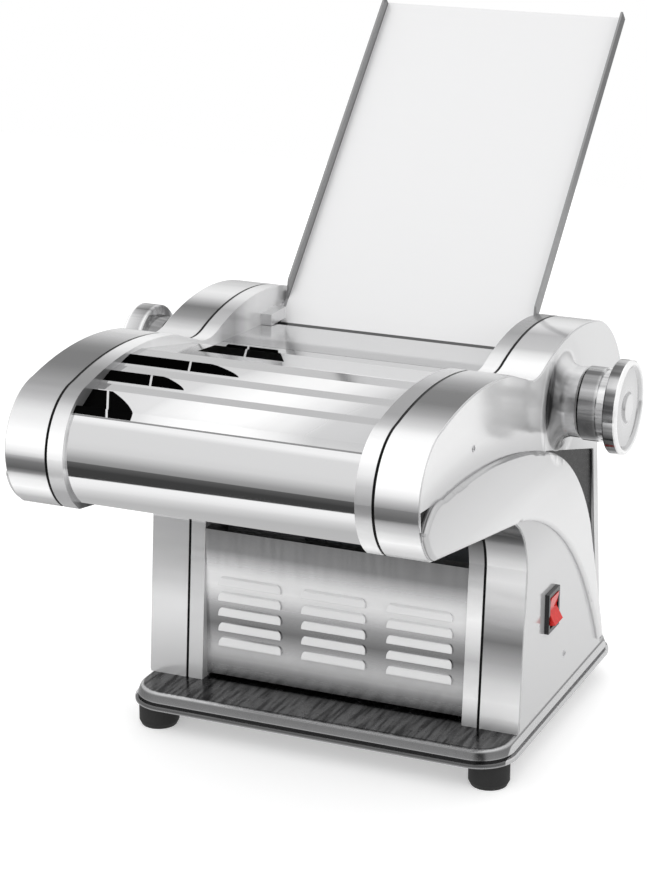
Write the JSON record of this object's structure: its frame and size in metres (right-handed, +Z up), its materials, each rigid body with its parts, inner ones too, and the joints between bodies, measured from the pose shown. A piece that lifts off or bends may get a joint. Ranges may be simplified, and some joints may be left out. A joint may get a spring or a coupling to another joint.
{
  "type": "electric pasta maker",
  "caption": "Polished steel electric pasta machine on a tray base: overhanging stepped head, tall sloping feed tray, thickness knobs on both sides, red rocker switch.",
  "frame": {"origin": "on the floor, under the middle of the overall length and width", "axes": "+Z up, -Y towards the noodle outlet at the front, +Y towards the feed tray at the back, +X to the side with the power switch, along the rollers"},
  "size_m": [0.3452, 0.488, 0.4413],
  "materials": {
    "polished_steel": "mirror polished stainless steel",
    "polished_alloy": "polished and plated cast alloy",
    "satin_alloy": "satin cast alloy",
    "satin_steel": "satin stainless steel",
    "machined_steel": "machined and zinc-plated steel",
    "black_gloss": "gloss black plastic",
    "black_plastic": "matt black plastic",
    "black_rubber": "matt black rubber",
    "red_switch": "translucent red plastic",
    "bronze": "sintered bronze",
    "motor_grey": "grey painted steel",
    "cast_alloy": "cast aluminium alloy",
    "white_plastic": "white moulded plastic"
  },
  "bodies": {
    "machine_frame": {"base_tray": "polished_steel", "rubber_feet": "black_rubber", "foot_screws": "machined_steel", "side_frame_right": "satin_alloy", "side_frame_left": "satin_alloy", "tie_rods": "machined_steel", "tie_rod_nuts": "machined_steel", "seam_gaskets": "black_plastic", "cover_right": "polished_alloy", "cover_left": "polished_alloy", "cover_inlays": "black_gloss", "cover_screws": "machined_steel", "front_hood": "polished_steel", "rear_panel": "satin_steel", "step_cover": "polished_steel", "top_deck": "polished_steel", "dough_guide": "satin_steel", "lower_guard": "polished_steel", "motor_cover": "satin_steel", "roller_bushes": "bronze", "knob_bushes": "bronze", "idler_pins": "machined_steel", "gearbox_housing": "cast_alloy", "motor_body": "motor_grey", "motor_cradle": "cast_alloy", "fan_cowl": "motor_grey", "switch_housing": "black_gloss", "run_capacitor": "white_plastic", "terminal_strip": "white_plastic", "cable_gland": "black_plastic", "inlet_chute": "satin_steel", "tray_hooks": "satin_steel", "dough_scrapers": "satin_steel", "cutter_combs": "satin_steel"},
    "feed_tray": {"feed_tray": "satin_steel"},
    "fixed_dough_roller": {"fixed_roller": "machined_steel", "fixed_roller_gear": "machined_steel", "fixed_drive_gear": "machined_steel"},
    "bearing_carriage": {"bearing_block_right": "cast_alloy", "bearing_block_left": "cast_alloy"},
    "moving_dough_roller": {"moving_roller": "machined_steel", "moving_roller_gear": "machined_steel"},
    "right_knob": {"knob_right": "polished_steel", "knob_shaft_right": "machined_steel"},
    "left_knob": {"knob_left": "polished_steel", "knob_shaft_left": "machined_steel"},
    "idler_1": {"idler_gear_1": "machined_steel"},
    "idler_2": {"idler_gear_2": "machined_steel"},
    "idler_3": {"idler_gear_3": "machined_steel"},
    "lower_cutter": {"cutter_lower": "machined_steel", "cutter_lower_gear": "machined_steel", "cutter_drive_gear": "machined_steel"},
    "upper_cutter": {"cutter_upper": "machined_steel", "cutter_upper_gear": "machined_steel"},
    "output_shaft": {"drive_shaft": "machined_steel", "drive_gear": "machined_steel"},
    "motor_rotor": {"motor_shaft": "machined_steel", "cooling_fan": "white_plastic"},
    "rocker": {"rocker_switch": "red_switch"}
  },
  "joints": [
    {"name": "feed_tray_lift", "type": "slide", "parent": "machine_frame", "child": "feed_tray", "axis": [0, 0.7071, 0.7071], "range_m": [0, 0.12]},
    {"name": "fixed_roller_spin", "type": "hinge", "parent": "machine_frame", "child": "fixed_dough_roller", "pos_m": [0, -0.014, 0.1962], "axis": [1, 0, 0], "continuous": true},
    {"name": "roller_gap", "type": "slide", "parent": "machine_frame", "child": "bearing_carriage", "axis": [0, 0, 1], "range_m": [0, 0.00301]},
    {"name": "moving_roller_spin", "type": "hinge", "parent": "bearing_carriage", "child": "moving_dough_roller", "pos_m": [0, -0.014, 0.2265], "axis": [1, 0, 0], "continuous": true},
    {"name": "right_knob_turn", "type": "hinge", "parent": "machine_frame", "child": "right_knob", "pos_m": [0, 0.001, 0.233], "axis": [1, 0, 0], "range_deg": [0, 150]},
    {"name": "left_knob_turn", "type": "hinge", "parent": "machine_frame", "child": "left_knob", "pos_m": [0, 0.001, 0.233], "axis": [1, 0, 0], "range_deg": [0, 150]},
    {"name": "idler_1_spin", "type": "hinge", "parent": "machine_frame", "child": "idler_1", "pos_m": [0, -0.05504, 0.21206], "axis": [1, 0, 0], "continuous": true},
    {"name": "idler_2_spin", "type": "hinge", "parent": "machine_frame", "child": "idler_2", "pos_m": [0, -0.09609, 0.22791], "axis": [1, 0, 0], "continuous": true},
    {"name": "idler_3_spin", "type": "hinge", "parent": "machine_frame", "child": "idler_3", "pos_m": [0, -0.14004, 0.22596], "axis": [1, 0, 0], "continuous": true},
    {"name": "lower_cutter_spin", "type": "hinge", "parent": "machine_frame", "child": "lower_cutter", "pos_m": [0, -0.184, 0.224], "axis": [1, 0, 0], "continuous": true},
    {"name": "upper_cutter_spin", "type": "hinge", "parent": "machine_frame", "child": "upper_cutter", "pos_m": [0, -0.184, 0.251], "axis": [1, 0, 0], "continuous": true},
    {"name": "output_shaft_spin", "type": "hinge", "parent": "machine_frame", "child": "output_shaft", "pos_m": [0, -0.014, 0.1522], "axis": [1, 0, 0], "continuous": true},
    {"name": "motor_rotor_spin", "type": "hinge", "parent": "machine_frame", "child": "motor_rotor", "pos_m": [0, 0.028, 0.094], "axis": [1, 0, 0], "continuous": true},
    {"name": "rocker_tip", "type": "hinge", "parent": "machine_frame", "child": "rocker", "pos_m": [0.1277, -0.011, 0.095], "axis": [0, 1, 0], "range_deg": [0, 18]}
  ],
  "couplings": [
    {"joint": "moving_roller_spin", "follows": "fixed_roller_spin", "ratio": -1},
    {"joint": "idler_1_spin", "follows": "fixed_roller_spin", "ratio": -1},
    {"joint": "idler_2_spin", "follows": "fixed_roller_spin", "ratio": 1},
    {"joint": "idler_3_spin", "follows": "fixed_roller_spin", "ratio": -1},
    {"joint": "lower_cutter_spin", "follows": "fixed_roller_spin", "ratio": 1},
    {"joint": "upper_cutter_spin", "follows": "fixed_roller_spin", "ratio": -1},
    {"joint": "output_shaft_spin", "follows": "fixed_roller_spin", "ratio": -1},
    {"joint": "motor_rotor_spin", "follows": "fixed_roller_spin", "ratio": 16},
    {"joint": "left_knob_turn", "follows": "right_knob_turn", "ratio": 1},
    {"joint": "roller_gap", "follows": "right_knob_turn", "m_per_rad": 0.0011459}
  ]
}
